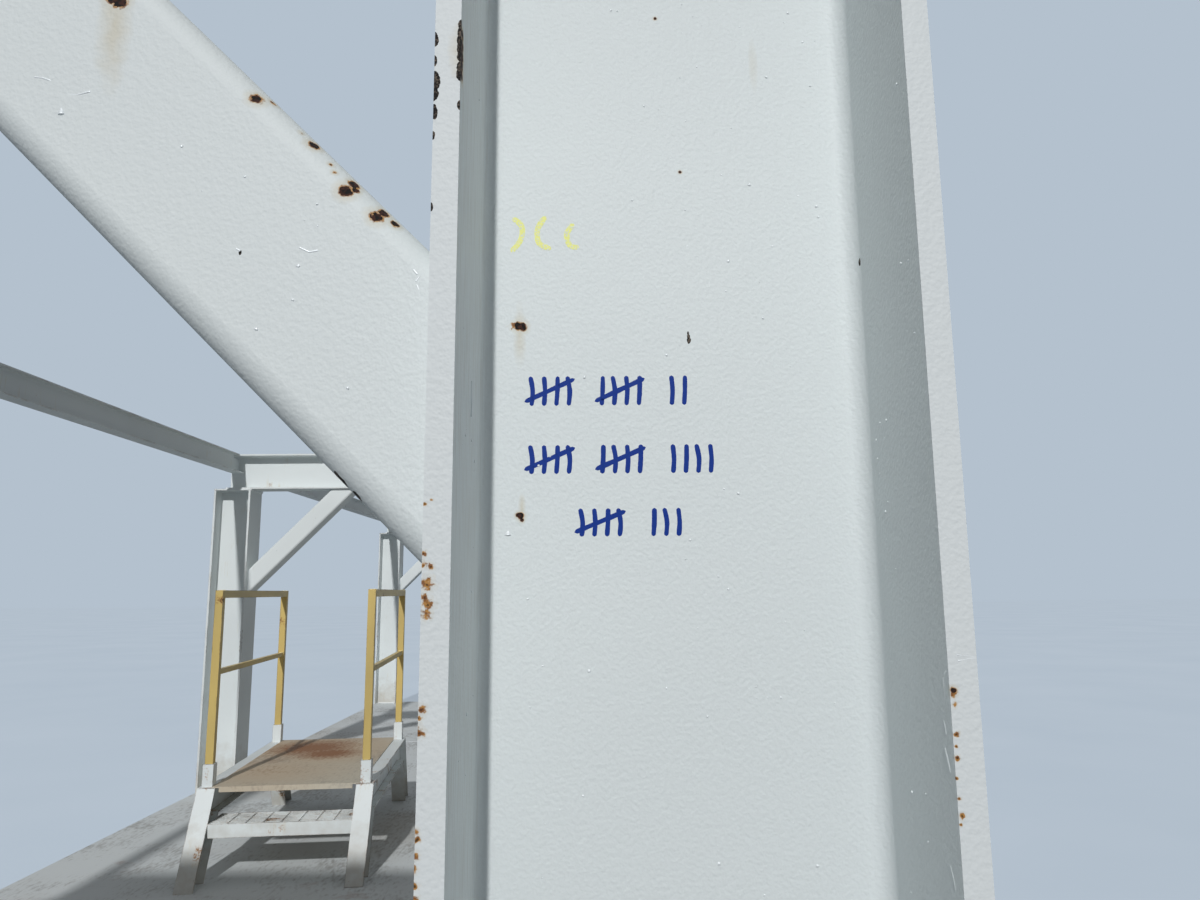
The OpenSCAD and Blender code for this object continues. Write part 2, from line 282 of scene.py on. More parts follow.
def soiled_film(add, place, top, thin):
    """Colour of the enamel: thick and thin coats, and dried mud splashed up from the deck."""
    deck_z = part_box("deck_plate_near")[1][2]
    clean_z, muddy_z = deck_z + 0.12, deck_z - 0.25
    coats = add("ShaderNodeTexNoise", [place, per_metre(700), 2])
    thinner = add("ShaderNodeMapRange", [coats, 0.40, 0.68, 0, 0.7])
    ragged = add("ShaderNodeTexNoise", [place, per_metre(60), 3])
    height = add("ShaderNodeSeparateXYZ", [place]).outputs["Z"]
    splash = add("ShaderNodeMath", [ragged, -0.5, height], operation="MULTIPLY_ADD")
    mud = add("ShaderNodeMapRange", [splash, clean_z, muddy_z, 0, 0.55])
    return layered(add, opaque(top), [(thinner, opaque(thin)), (mud, opaque(chosen("finishes").soil_and_stroke_shade))])


def edge_rust(add, place, cluster, wear):
    """Masks of the chips along sharp edges and of the pits in the faces, and of the chips' rims."""
    ragged = add("ShaderNodeTexNoise", [place, per_metre(9), 4, 0.65])
    patchy = add("ShaderNodeMath", [cluster, 2.0, ragged], operation="MULTIPLY_ADD")
    arris = arris_mask(add, reach=0.006)
    at_edge = add("ShaderNodeMath", [arris, 0.55, patchy], operation="MULTIPLY_ADD")
    bare_at = 2.36 - 0.35 * wear
    chip = add("ShaderNodeMapRange", [at_edge, bare_at, bare_at + 0.05])
    rim = add("ShaderNodeMapRange", [at_edge, bare_at - 0.13, bare_at])
    pits = add("ShaderNodeTexVoronoi", [place, per_metre(110)])
    chance = add("ShaderNodeSeparateColor", [pits.outputs["Color"]])
    kept = add("ShaderNodeMath", [chance, 1 - 0.25 * wear], operation="GREATER_THAN")
    hole = add("ShaderNodeMapRange", [pits, 0.022, 0.010])
    pit = add("ShaderNodeMath", [hole, kept], operation="MULTIPLY")
    return outermost(add, "MAXIMUM", [chip, pit]), rim


def placed_rust(add, place, marks):
    """Masks of the marks set out one by one: rusty cores, orange rims, rust wash and dry bare steel."""
    grain = add("ShaderNodeTexNoise", [place, per_metre(2.6), 3])
    cores, rims, washes, bare = [], [], [], []
    if "rusty" in marks:
        chip = torn_spots(add, place, marks["rusty"], grain, firm=1.05)
        cores.append(add("ShaderNodeMapRange", [chip, 0.58, 0.62]))
        rims.append(add("ShaderNodeMapRange", [chip, 0.26, 0.50, 0, 0.9]))
        washes.append(add("ShaderNodeMapRange", [chip, -0.9, 0.4, 0, 0.30]))
    if "freckles" in marks:
        freckle = torn_spots(add, place, marks["freckles"], grain, firm=0.42)
        cores.append(add("ShaderNodeMapRange", [freckle, 0.77, 0.90, 0, 0.8]))
        rims.append(add("ShaderNodeMapRange", [freckle, 0.53, 0.68]))
        washes.append(add("ShaderNodeMapRange", [freckle, 0.25, 0.60, 0, 0.22]))
    if "dry" in marks:
        chip = torn_spots(add, place, marks["dry"], grain, firm=1.4, stretch=1.9)
        bare.append(add("ShaderNodeMapRange", [chip, 0.52, 0.58]))
    if "drips" in marks:
        wander = add("ShaderNodeTexNoise", [place, per_metre(14), 2])
        drip = torn_spots(add, place, marks["drips"], wander, firm=1.0, stretch=4.5)
        washes.append(add("ShaderNodeMapRange", [drip, 0.35, 1.6, 0, 0.40]))
    return cores, rims, washes, bare


def painted_stroke_shade(add, place, mm):
    """Painted shade between upright brush strokes: darker streaks on the faces that look to the right alone,
    which the key light leaves in shade.
    """
    upright = add("ShaderNodeMapping", {"Vector": place, "Scale": (0, 1, 0.05)})
    strokes = add("ShaderNodeTexNoise", [upright, per_metre(mm), 3])
    # Streaks of painted shade where the relief of the strokes would shade itself.
    shade_streaks = add("ShaderNodeMapRange", [strokes, 0.46, 0.70, 0, 0.28])
    faces = add("ShaderNodeNewGeometry").outputs["Normal"]
    to_right = add("ShaderNodeSeparateXYZ", [faces]).outputs["X"]
    facing = add("ShaderNodeMapRange", [to_right, 0.7, 0.95])
    return add("ShaderNodeMath", [shade_streaks, facing], operation="MULTIPLY")


def rusted_enamel(name, top, thin, marks=None, wear=0.5, relief=1.0, gloss=0.6):
    """Enamel sprayed and brushed over rolled steel: orange peel, brush strokes with painted shade in them
    where the marks ask for it, dried mud low down, and rust where the film has chipped, most of all on the
    edges."""
    look = chosen("finishes")
    marks = marks or {}
    material, add, place = start_material(name)
    layers = []
    if "dull_front" in marks:
        edge = 0.0015
        front = marks["dull_front"]
        depth = add("ShaderNodeSeparateXYZ", [place]).outputs["Y"]
        dull = add("ShaderNodeMapRange", [depth, front + 2 * edge, front + edge, 0, 0.9])
        layers.append((dull, opaque(look.dull)))
    # Painted shade of the brush strokes, laid in the soil colour on the faces that look to the right.
    if "strokes" in marks:
        layers.append((painted_stroke_shade(add, place, marks["strokes"]), opaque(look.soil_and_stroke_shade)))

    cluster = add("ShaderNodeTexNoise", [place, per_metre(160), 2])
    cores, rims, washes, bare = placed_rust(add, place, marks)
    if wear > 0:
        chipped, rim = edge_rust(add, place, cluster, wear)
        cores.append(chipped)
        rims.append(rim)
    streak_place = add("ShaderNodeMapping", {"Vector": place, "Scale": (1, 1, 0.06)})
    streaks = add("ShaderNodeTexNoise", [streak_place, per_metre(22), 2])
    run_down = add("ShaderNodeMath", [cluster, streaks], operation="MULTIPLY")
    clean_at, stained_at = 0.40 - 0.08 * wear, 0.50 - 0.04 * wear
    washes.append(add("ShaderNodeMapRange", [run_down, clean_at, stained_at, 0, 0.18]))

    fine = add("ShaderNodeTexNoise", [place, per_metre(3), 1])
    older = add("ShaderNodeMapRange", [fine, 0.40, 0.58, 0, 0.85])
    orange = layered(add, opaque(look.rust_edge), [(older, opaque(look.rust_mid))])
    browner = add("ShaderNodeMapRange", [fine, 0.44, 0.60])
    crust = layered(add, opaque(look.rust_black), [(browner, opaque(look.rust_core))])
    layers.append((outermost(add, "MAXIMUM", washes), opaque(look.stain)))
    layers.append((outermost(add, "MAXIMUM", rims), orange))
    layers.append((outermost(add, "MAXIMUM", cores), crust))
    for mask in bare:
        speck = add("ShaderNodeTexNoise", [place, per_metre(1.5), 2])
        specks = add("ShaderNodeMapRange", [speck, 0.46, 0.68])
        layers.append((mask, layered(add, opaque(look.rust_black), [(specks, opaque(look.bare))])))
    open_steel = outermost(add, "MAXIMUM", [*cores, *bare])
    rough = add("ShaderNodeMapRange", [open_steel, 0, 1, gloss, 0.95])

    peel = add("ShaderNodeMath", [fine, 0.42 * relief], operation="MULTIPLY")
    brush_place = add("ShaderNodeMapping", {"Vector": place, "Scale": (1, 1, 0.3)})
    brushed = add("ShaderNodeTexNoise", [brush_place, per_metre(7), 1])
    height = add("ShaderNodeMath", [brushed, 0.25 * relief, peel], operation="MULTIPLY_ADD")
    bump = add("ShaderNodeBump", {"Strength": 1.0, "Distance": 0.001, "Height": height})
    painted = layered(add, soiled_film(add, place, top, thin), layers)
    end_material(add, {"Base Color": painted, "Roughness": rough, "Normal": bump})
    return material


def trodden_plate(name, top, patches=(), rust_share=0.25):
    """Rolled plate whose paint is trodden through: scuffed film, bare steel, rust and dried mud."""
    look = chosen("finishes")
    material, add, place = start_material(name)
    scuff_place = add("ShaderNodeMapping", {"Vector": place, "Scale": (1.6, 0.5, 1)})
    scuff = add("ShaderNodeTexNoise", [scuff_place, per_metre(30), 6, 0.62])
    paths = add("ShaderNodeTexNoise", [place, per_metre(420), 4])
    through = add("ShaderNodeMath", [paths, 0.9, scuff], operation="MULTIPLY_ADD")
    bare = add("ShaderNodeMapRange", [through, 0.96, 1.22, 0, 0.7])
    puddles = add("ShaderNodeTexNoise", [place, per_metre(1300), 6])
    mud = add("ShaderNodeMapRange", [puddles, 0.52, 0.68, 0, 0.4])
    layers = [(bare, opaque(look.deck_worn)), (mud, opaque(look.soil_and_stroke_shade))]
    blooms = add("ShaderNodeTexNoise", [place, per_metre(520), 6, 0.62])
    spread = 0.80 - 0.24 * rust_share
    rust = add("ShaderNodeMapRange", [blooms, spread - 0.10, spread + 0.04, 0, 0.85])
    if patches:
        level = torn_spots(add, place, patches, scuff, firm=0.9)
        tan = add("ShaderNodeMapRange", [level, -0.9, 0.7, 0, 0.35])
        layers.append((tan, opaque(look.rust_edge)))
        patch = add("ShaderNodeMapRange", [level, 0.40, 1.05, 0, 0.92])
        rust = outermost(add, "MAXIMUM", [rust, patch])
    grain = add("ShaderNodeTexNoise", [place, per_metre(7), 4])
    layers.append((rust, layered(add, opaque(look.rust_mid), [(grain, opaque(look.plate_rust))])))
    rough = add("ShaderNodeMapRange", [through, 0, 1, 0.45, 0.75])
    relief = add("ShaderNodeMath", [bare, -0.3, grain], operation="MULTIPLY_ADD")
    bump = add("ShaderNodeBump", {"Strength": 0.8, "Distance": 0.0006, "Height": relief})
    end_material(add, {"Base Color": layered(add, opaque(top), layers), "Roughness": rough, "Normal": bump})
    return material


def paint_mark(name, ink, cover, grain_mm):
    """Marker or crayon dragged over enamel: full where it presses, thin over the hollows."""
    material, add, place = start_material(name)
    drag = add("ShaderNodeTexNoise", [place, per_metre(grain_mm), 3])
    share = add("ShaderNodeMapRange", [drag, cover + 0.14, cover])
    inked = layered(add, opaque(chosen("finishes").white), [(share, opaque(ink))])
    bump = add("ShaderNodeBump", {"Strength": 0.5, "Distance": 0.0003, "Height": drag})
    end_material(add, {"Base Color": inked, "Normal": bump, "Roughness": 0.6, "Specular IOR Level": 0.2})
    return material


def rust_scale_finish():
    """Layered mill scale and rust that lifts off an edge: matt, dark, orange in its cracks."""
    look = chosen("finishes")
    material, add, place = start_material("rust_scale")
    flakes = add("ShaderNodeTexNoise", [place, per_metre(3), 4])
    browner = add("ShaderNodeMapRange", [flakes, 0.40, 0.62])
    cracks = add("ShaderNodeTexVoronoi", [place, per_metre(5)])
    cracked = add("ShaderNodeMapRange", [cracks, 0.55, 0.8, 0, 0.7])
    layers = [(browner, opaque(look.rust_core)), (cracked, opaque(look.rust_edge))]
    finished = layered(add, opaque(look.rust_black), layers)
    bump = add("ShaderNodeBump", {"Strength": 1.0, "Distance": 0.0008, "Height": flakes})
    end_material(add, {"Base Color": finished, "Normal": bump, "Roughness": 0.9})
    return material


def studio_finish(name, tone, lift):
    """Pale matt paper under and behind the frame, which keeps the frame's soft shadow."""
    material, add, place = start_material(name)
    fibre = add("ShaderNodeTexNoise", [place, per_metre(2500), 3])
    mottled = add("ShaderNodeMapRange", [fibre, 0.3, 0.7, 0, 0.05])
    paper_depth = 0.55
    shade = tuple(c * paper_depth for c in tone)
    paper = layered(add, opaque(shade), [(mottled, (1, 1, 1, 1))])
    seen = add("ShaderNodeLightPath").outputs["Is Camera Ray"]
    lifted = add("ShaderNodeMath", [seen, lift], operation="MULTIPLY")
    end_material(add, {
        "Base Color": paper, "Roughness": 1.0, "Specular IOR Level": 0,
        "Emission Color": opaque(tone), "Emission Strength": lifted,
    })
    return material


def near_column_marks():
    """Chips and rust of the near right column, as places and radii in metres: bare spots on the
    corners of its left flange, rusty spots on its web, and orange freckles along its edges. The
    lists hold heights in metres and the rest in millimetres."""
    low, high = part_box("column_near_right")
    parts = chosen("sections")
    front = low[1]
    web_y = (low[1] + high[1]) / 2 - parts.column_web_t / 2
    left_out, left_in = low[0], low[0] + parts.column_flange_t
    right_in = high[0] - parts.column_flange_t
    outer_corner = (
        (2.0375, 2.6), (2.0230, 2.0), (2.0085, 4.0), (2.0010, 3.2), (1.9885, 2.8), (1.9730, 1.6),
        (1.9260, 1.6),
    )
    inner_corner = (
        (2.0475, 2.0), (2.0425, 2.3), (2.0370, 2.6), (2.0315, 2.6), (2.0260, 2.3), (2.0185, 2.4),
        (2.0135, 2.6), (1.9930, 1.8),
    )
    inner_line = ((2.0440, 3.4), (2.0370, 4.2), (2.0300, 4.6), (2.0230, 4.2), (2.0160, 3.8))
    web = (
        (42.0, 1.8892, 3.1), (44.8, 1.8888, 3.1), (45.6, 1.8906, 1.7), (44.8, 1.7490, 2.3),
        (43.0, 1.7495, 1.7), (45.6, 1.7462, 1.4), (147.4, 2.139, 1.2), (164.1, 2.010, 1.1),
    )
    left = (
        (1, 1.7455, 1.2), (4.5, 1.748, 1.0), (1, 1.7175, 1.8), (1, 1.711, 2.4), (5.5, 1.710, 2.0),
        (3, 1.7005, 4.2), (2, 1.693, 2.4), (4, 1.689, 3.6), (3, 1.684, 3.4), (2, 1.632, 2.6),
        (0.5, 1.6275, 2.4), (1, 1.620, 3.0), (0, 1.568, 2.2), (1, 1.564, 2.2), (0, 1.556, 2.6),
        (0, 1.549, 2.2), (0, 1.541, 2.6), (1, 1.533, 2.8), (0, 1.522, 2.4), (1, 1.449, 2.4),
        (0, 1.441, 2.6),
    )
    right = (
        (2, 1.6385, 3.2), (2.4, 1.632, 2.0), (2, 1.6165, 2.2), (1.5, 1.610, 1.2), (1.5, 1.604, 2.2),
        (0.5, 1.5935, 1.5), (1, 1.583, 1.4), (2, 1.574, 2.4), (1, 1.5695, 1.2),
    )
    dry = [(left_out, front, z, r / 1000) for z, r in outer_corner]
    dry += [(left_in, front, z, r / 1000) for z, r in inner_corner]
    dry += [
        (left_out + 0.1677, web_y, 1.8775, 0.0015), (left_out + 0.1674, web_y, 1.8803, 0.0011),
        (left_out + 0.1671, web_y, 1.8828, 0.0008), (right_in, front + 0.112, 1.933, 0.0016),
    ]
    rusty = [(left_out + across / 1000, web_y, z, r / 1000) for across, z, r in web]
    rusty += [(left_in, front + 0.005, z, r / 1000) for z, r in inner_line]
    rusty.append((right_in + 0.002, front, 1.640, 0.0017))
    freckles = [(left_out + across / 1000, front, z, r / 1000) for across, z, r in left]
    finer = 0.8
    freckles += [(right_in + across / 1000, front, z, finer * r / 1000) for across, z, r in right]
    freckles.append((left_out + 0.0386, web_y, 1.8892, 0.0030))
    drips = [(left_out + 0.0430, web_y, 1.883, 0.0048), (left_out + 0.0455, web_y, 1.7545, 0.0024)]
    marks = {"dry": dry, "rusty": rusty, "freckles": freckles, "drips": drips}
    # The strokes entry gives in millimetres the size of the brush strokes whose shade is painted into the
    # colour.
    return {**marks, "dull_front": front, "strokes": 2.6}


def near_brace_marks():
    """Chips of the near right knee brace, most of them along its upper corner, with the rust that
    has run down from the largest. Each is given by its distance from the column, its height, its
    depth behind the front face and its radius, with the heights in metres and the rest in
    millimetres."""
    low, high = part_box("knee_brace_near_right")
    front = low[1]
    foot_x = high[0]
    upper = (
        (236, 2.107, 0, 4.6), (231, 2.1045, 0, 5.2), (132, 2.0324, 1, 4.6), (122, 2.0342, 8, 3.4),
        (101, 2.0097, 6, 2.0), (92, 2.0004, 6, 4.4), (79.5, 1.9848, 4, 1.9), (76.5, 1.9778, 2, 1.8),
        (68, 1.9633, 0, 4.9), (64, 1.9705, 6, 4.0), (62, 1.9651, 3, 2.9), (46.5, 1.9453, 0, 4.9),
        (43, 1.9495, 6, 4.0), (35, 1.9422, 6, 3.4),
    )
    under = ((69, 1.770, 3.4), (66, 1.766, 3.4), (56, 1.757, 3.4))
    rusty = [(foot_x - away / 1000, front + deep / 1000, z, r / 1000) for away, z, deep, r in upper]
    under_y = front + 0.012
    dry = [(foot_x - away / 1000, under_y, z, r / 1000) for away, z, r in under]
    dry.append((foot_x - 0.1363, front, 1.9194, 0.0010))
    drips = [(foot_x - 0.236, front, 2.102, 0.009), (foot_x - 0.233, front, 2.088, 0.012)]
    return {"dry": dry, "rusty": rusty, "drips": drips}


def platform_patches():
    """Middles and radii of the rusted patches on the platform. The last middle is high above the
    plate, so that its patch is no more than a tan tone."""
    low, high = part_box("platform_plate")
    x, y = (low[0] + high[0]) / 2, (low[1] + high[1]) / 2
    return (
        (x - 0.16, y + 0.42, high[2], 0.34),
        (x + 0.02, y + 0.20, high[2], 0.24),
        (x - 0.20, y - 0.40, high[2] + 0.315, 0.30),
    )


class SKID_OT_paint_frame(bpy.types.Operator):
    """Paint every beam, plate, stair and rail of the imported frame"""

    bl_idname = "skid.paint_frame"
    bl_label = "Paint frame"

    def execute(self, context):
        look = chosen("finishes")
        white = partial(rusted_enamel, top=look.white, thin=look.white_shade)
        finishes = {
            "white_enamel": white("white_enamel"),
            "yellow_enamel": rusted_enamel(
                "yellow_enamel", look.yellow, look.yellow_shade, wear=0.8, relief=0.6, gloss=0.42
            ),
            "deck_enamel": trodden_plate("deck_enamel", look.deck),
            "worn_plate": trodden_plate("worn_plate", look.plate, platform_patches()),
        }
        stair_enamel = white("stair_enamel", wear=1.2)
        stair = (
            "stair_frame_left", "stair_frame_right", "stair_tread_near", "stair_tread_far", "post_sockets",
        )
        special = dict.fromkeys(stair, stair_enamel)
        special["column_near_right"] = white("near_column_enamel", marks=near_column_marks(), wear=-0.8)
        special["knee_brace_near_right"] = white("near_brace_enamel", marks=near_brace_marks(), wear=-0.8)
        slots = {part["node"]: part["material_slot"] for part in frame["record"]["subparts"]}
        for name, node in NODES.items():
            node.data.materials.clear()
            node.data.materials.append(special.get(name, finishes[slots[name]]))
        return {"FINISHED"}


def keep_piece(name, mesh):
    """A finished mesh becomes a named piece that rides on the frame."""
    piece = bpy.data.objects.new(name, mesh)
    bpy.context.scene.collection.objects.link(piece)
    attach(piece, BODY)


def edge_seed(name, lines):
    """A mesh of loose edges along open lines, each a list of points."""
    points, edges = [], []
    for line in lines:
        first = len(points)
        points += [tuple(p) for p in line]
        edges += [(first + i, first + i + 1) for i in range(len(line) - 1)]
    seed = bpy.data.meshes.new(name)
    seed.from_pydata(points, edges, [])
    return seed


def face_seed(name, quads):
    """A mesh of loose quads, each a list of four corners."""
    seed = bpy.data.meshes.new(name)
    corners = [corner for quad in quads for corner in quad]
    seed.from_pydata(corners, [], [tuple(range(4 * i, 4 * i + 4)) for i in range(len(quads))])
    return seed


def grow(seed, shape, smooth=True, **sizes):
    """Runs a geometry tree on a seed mesh and returns the result as a plain mesh. The tree has one
    named input for each size and for the finish, and the shape adds the nodes between its ends."""
    tree = bpy.data.node_groups.new(shape.__name__, "GeometryNodeTree")
    kinds = {float: "NodeSocketFloat", int: "NodeSocketInt", bpy.types.Material: "NodeSocketMaterial"}
    for way in ("INPUT", "OUTPUT"):
        tree.interface.new_socket("Geometry", in_out=way, socket_type="NodeSocketGeometry")
    for name, value in sizes.items():
        kind = next(socket for sort, socket in kinds.items() if isinstance(value, sort))
        tree.interface.new_socket(name, in_out="INPUT", socket_type=kind)
    add = partial(add_node, tree)
    given = add("NodeGroupInput").outputs
    real = add("GeometryNodeRealizeInstances", [shape(add, given)])
    painted = add("GeometryNodeSetMaterial", {"Geometry": real, "Material": given["Finish"]})
    shaded = add("GeometryNodeSetShadeSmooth", {"Geometry": painted, "Shade Smooth": smooth})
    add("NodeGroupOutput", [shaded])

    holder = bpy.data.objects.new(seed.name, seed)
    bpy.context.scene.collection.objects.link(holder)
    modifier = holder.modifiers.new("grow", "NODES")
    modifier.node_group = tree
    for item in tree.interface.items_tree:
        if item.in_out == "INPUT" and item.name in sizes:
            modifier[item.identifier] = sizes[item.name]
    bpy.context.view_layer.update()
    grown = holder.evaluated_get(bpy.context.evaluated_depsgraph_get())
    mesh = bpy.data.meshes.new_from_object(grown)
    holder.modifiers.remove(modifier)
    bpy.data.objects.remove(holder)
    return mesh


def ragged(add, geometry, mm, reach):
    """Pushes the points of instances about by a noise, for torn and lumpy outlines."""
    real = add("GeometryNodeRealizeInstances", [geometry])
    rough = add("ShaderNodeTexNoise", {"Scale": per_metre(mm)}).outputs["Color"]
    centred = add("ShaderNodeVectorMath", [rough, (0.5, 0.5, 0.5)], operation="SUBTRACT")
    torn = add("ShaderNodeVectorMath", [centred, reach], operation="SCALE")
    return add("GeometryNodeSetPosition", {"Geometry": real, "Offset": torn})


def tube(add, path, width, corners):
    """A closed tube along a path, whose rings have that many corners."""
    ring = add("GeometryNodeCurvePrimitiveCircle", {"Resolution": corners, "Radius": 1.0})
    return add("GeometryNodeCurveToMesh", {
        "Curve": path, "Profile Curve": ring, "Scale": width, "Fill Caps": True,
    })


def round_end(add, along, power):
    """1 along a line and nearly 0 at its very end, so that a tube ends round."""
    steep = add("ShaderNodeMath", [along, power], operation="POWER")
    left_over = add("ShaderNodeMath", [1.02, steep], operation="SUBTRACT")
    return add("ShaderNodeMath", [left_over, 0.5], operation="POWER")


def weld_bead(add, given):
    """Weld bead along each edge line: a tube that narrows between its ripples."""
    path = add("GeometryNodeMeshToCurve", [given["Geometry"]])
    half = add("ShaderNodeMath", [given["Ripple"], 0.5], operation="MULTIPLY")
    rings = add("GeometryNodeResampleCurve", {"Curve": path, "Length": half}, mode="LENGTH")
    turn = add("ShaderNodeMath", [add("GeometryNodeInputIndex"), 2.0], operation="MODULO")
    loss = add("ShaderNodeMath", [turn, given["Depth"]], operation="MULTIPLY")
    kept = add("ShaderNodeMath", [1.0, loss], operation="SUBTRACT")
    sway = add("ShaderNodeTexNoise", {"Scale": per_metre(35)})
    swayed = add("ShaderNodeMath", [sway, 0.4, 0.8], operation="MULTIPLY_ADD")
    share = add("ShaderNodeMath", [kept, swayed], operation="MULTIPLY")
    width = add("ShaderNodeMath", [share, given["Radius"]], operation="MULTIPLY")
    return tube(add, rings, width, corners=7)


def lay_beads(name, lines, radius, finish="white_enamel"):
    """Lays weld beads of one size along lines and keeps them as one piece."""
    detail = chosen("details")
    keep_piece(name, grow(
        edge_seed(name, lines), weld_bead,
        Radius=radius, Ripple=detail.ripple, Depth=detail.ripple_depth, Finish=bpy.data.materials[finish],
    ))


def on_sides(kind, places=PORTALS):
    """Place, side and box of each piece of a kind that stands on the left and on the right."""
    for place in places:
        for hand, side in HANDS.items():
            yield place, side, *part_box(f"{kind}_{place}_{hand}")


def arc(centre, radius, start, end, steps=4):
    """Points of an arc in a plane, from one angle to another in degrees."""
    angles = [math.radians(start + (end - start) * i / steps) for i in range(steps + 1)]
    return [(centre[0] + radius * math.cos(a), centre[1] + radius * math.sin(a)) for a in angles]


def column_hollow(low, high, face):
    """Outline of the hollow on one face of a column, about its centre: flange, web, flange."""
    parts = chosen("sections")
    inner = (high[0] - low[0]) / 2 - parts.column_flange_t
    edge = (high[1] - low[1]) / 2
    root_r = parts.column_root_r
    root = parts.column_web_t / 2 + root_r
    points = [(inner, edge)]
    points += arc((inner - root_r, root), root_r, 0, -90)
    points += arc((-inner + root_r, root), root_r, -90, -180)
    points.append((-inner, edge))
    return [(x, face * y) for x, y in points]


def round_square_line(w, corner_r):
    """Closed outline of a square with round corners, about its centre."""
    reach = w / 2 - corner_r
    points = []
    for quarter, (u, v) in enumerate(((1, 1), (-1, 1), (-1, -1), (1, -1))):
        points += arc((u * reach, v * reach), corner_r, 90 * quarter, 90 * quarter + 90)
    return points + points[:1]


def square_line(centre, half, axis):
    """Closed square around a centre, in the plane across an axis."""
    u, v = [i for i in range(3) if i != axis]
    points = []
    for su, sv in ((1, 1), (-1, 1), (-1, -1), (1, -1), (1, 1)):
        point = list(centre)
        point[u] += su * half
        point[v] += sv * half
        points.append(tuple(point))
    return points


def column_lines():
    """Weld lines at the foot and the head of each column."""
    lines = []
    for _, side, low, high in on_sides("column"):
        x, y = (low[0] + high[0]) / 2, (low[1] + high[1]) / 2
        inner_x = low[0] if side > 0 else high[0]
        for z in (low[2], high[2]):
            lines += [[(x + u, y + v, z) for u, v in column_hollow(low, high, face)] for face in SIDES]
            lines.append([(inner_x, low[1], z), (inner_x, high[1], z)])
    return lines


def brace_frame(low, high, side):
    """Foot and head of the middle line of a knee brace, each as X and Z, and the brace's width."""
    slope = chosen("sections").brace_angle
    width = high[1] - low[1]
    foot_x, head_x = (high[0], low[0]) if side > 0 else (low[0], high[0])
    foot = (foot_x, low[2] + width / 2 / math.cos(slope))
    head = (head_x + side * width / 2 / math.sin(slope), high[2])
    return foot, head, width


def brace_lines():
    """Weld lines around the foot and the head of each knee brace."""
    parts = chosen("sections")
    slope = parts.brace_angle
    lines = []
    for _, side, low, high in on_sides("knee_brace"):
        foot, head, width = brace_frame(low, high, side)
        outline = round_square_line(width, parts.brace_corner_r)
        y = (low[1] + high[1]) / 2
        lines.append([(foot[0], y + u, foot[1] + v / math.cos(slope)) for u, v in outline])
        lines.append([(head[0] + v / math.sin(slope), y + u, head[1]) for u, v in outline])
    return lines


def cross_beam_lines():
    """Weld lines where the cross beams stand on the cap plates."""
    lines = []
    for portal, side, low, high in on_sides("column"):
        beam_low, beam_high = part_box(f"cross_beam_{portal}")
        inner_x = low[0] if side > 0 else high[0]
        end_x = beam_high[0] if side > 0 else beam_low[0]
        z = beam_low[2]
        lines += [[(inner_x, y, z), (end_x, y, z)] for y in (beam_low[1], beam_high[1])]
        lines.append([(end_x, beam_low[1], z), (end_x, beam_high[1], z)])
    return lines


def side_beam_lines():
    """Weld lines where the ends of the side beams meet the webs of the cross beams."""
    parts = chosen("sections")
    lines = []
    for _, _, low, high in on_sides("side_beam", BAYS):
        middle_x = (low[0] + high[0]) / 2
        for y in (low[1], high[1]):
            for face in SIDES:
                x = middle_x + face * parts.side_web_t / 2
                lines.append([(x, y, low[2] + parts.side_flange_t), (x, y, high[2] - parts.notch_h)])
            lines.append([(low[0], y, low[2]), (high[0], y, low[2])])
    return lines


def seam_lines():
    """Weld lines along the seams of the deck plates, a little sunk into them."""
    sunk = 0.002
    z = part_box("deck_plate_near")[1][2] - sunk
    lines = []
    for before, after in zip(PORTALS, PORTALS[1:]):
        low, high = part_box(f"deck_plate_{before}")
        seam_y = (high[1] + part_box(f"deck_plate_{after}")[0][1]) / 2
        edge_x = high[0] - chosen("sections").runner_flange_t
        lines.append([(-edge_x, seam_y, z), (edge_x, seam_y, z)])
    return lines


class SKID_OT_frame_welds(bpy.types.Operator):
    """Lay the weld beads of the columns, braces, beams and deck"""

    bl_idname = "skid.frame_welds"
    bl_label = "Frame welds"

    def execute(self, context):
        radius = chosen("details").frame_bead
        for name, lines, share in (
            ("column_welds", column_lines(), 1.0),
            ("brace_welds", brace_lines(), 1.0),
            ("beam_welds", cross_beam_lines() + side_beam_lines(), 0.8),
            ("deck_seam_welds", seam_lines(), 0.7),
        ):
            lay_beads(name, lines, radius * share)
        return {"FINISHED"}


def on_deck(lines):
    """Moves lines from the crossover's own axes, centred on the deck, to the frame's."""
    low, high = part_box("platform_plate")
    deck_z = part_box("deck_plate_middle")[1][2]
    centre = Vector(((low[0] + high[0]) / 2, (low[1] + high[1]) / 2, deck_z))
    place = Matrix.Translation(centre) @ Matrix.Rotation(chosen("sections").stair_skew, 4, "Z")
    return [[tuple(place @ Vector(point)) for point in line] for line in lines]


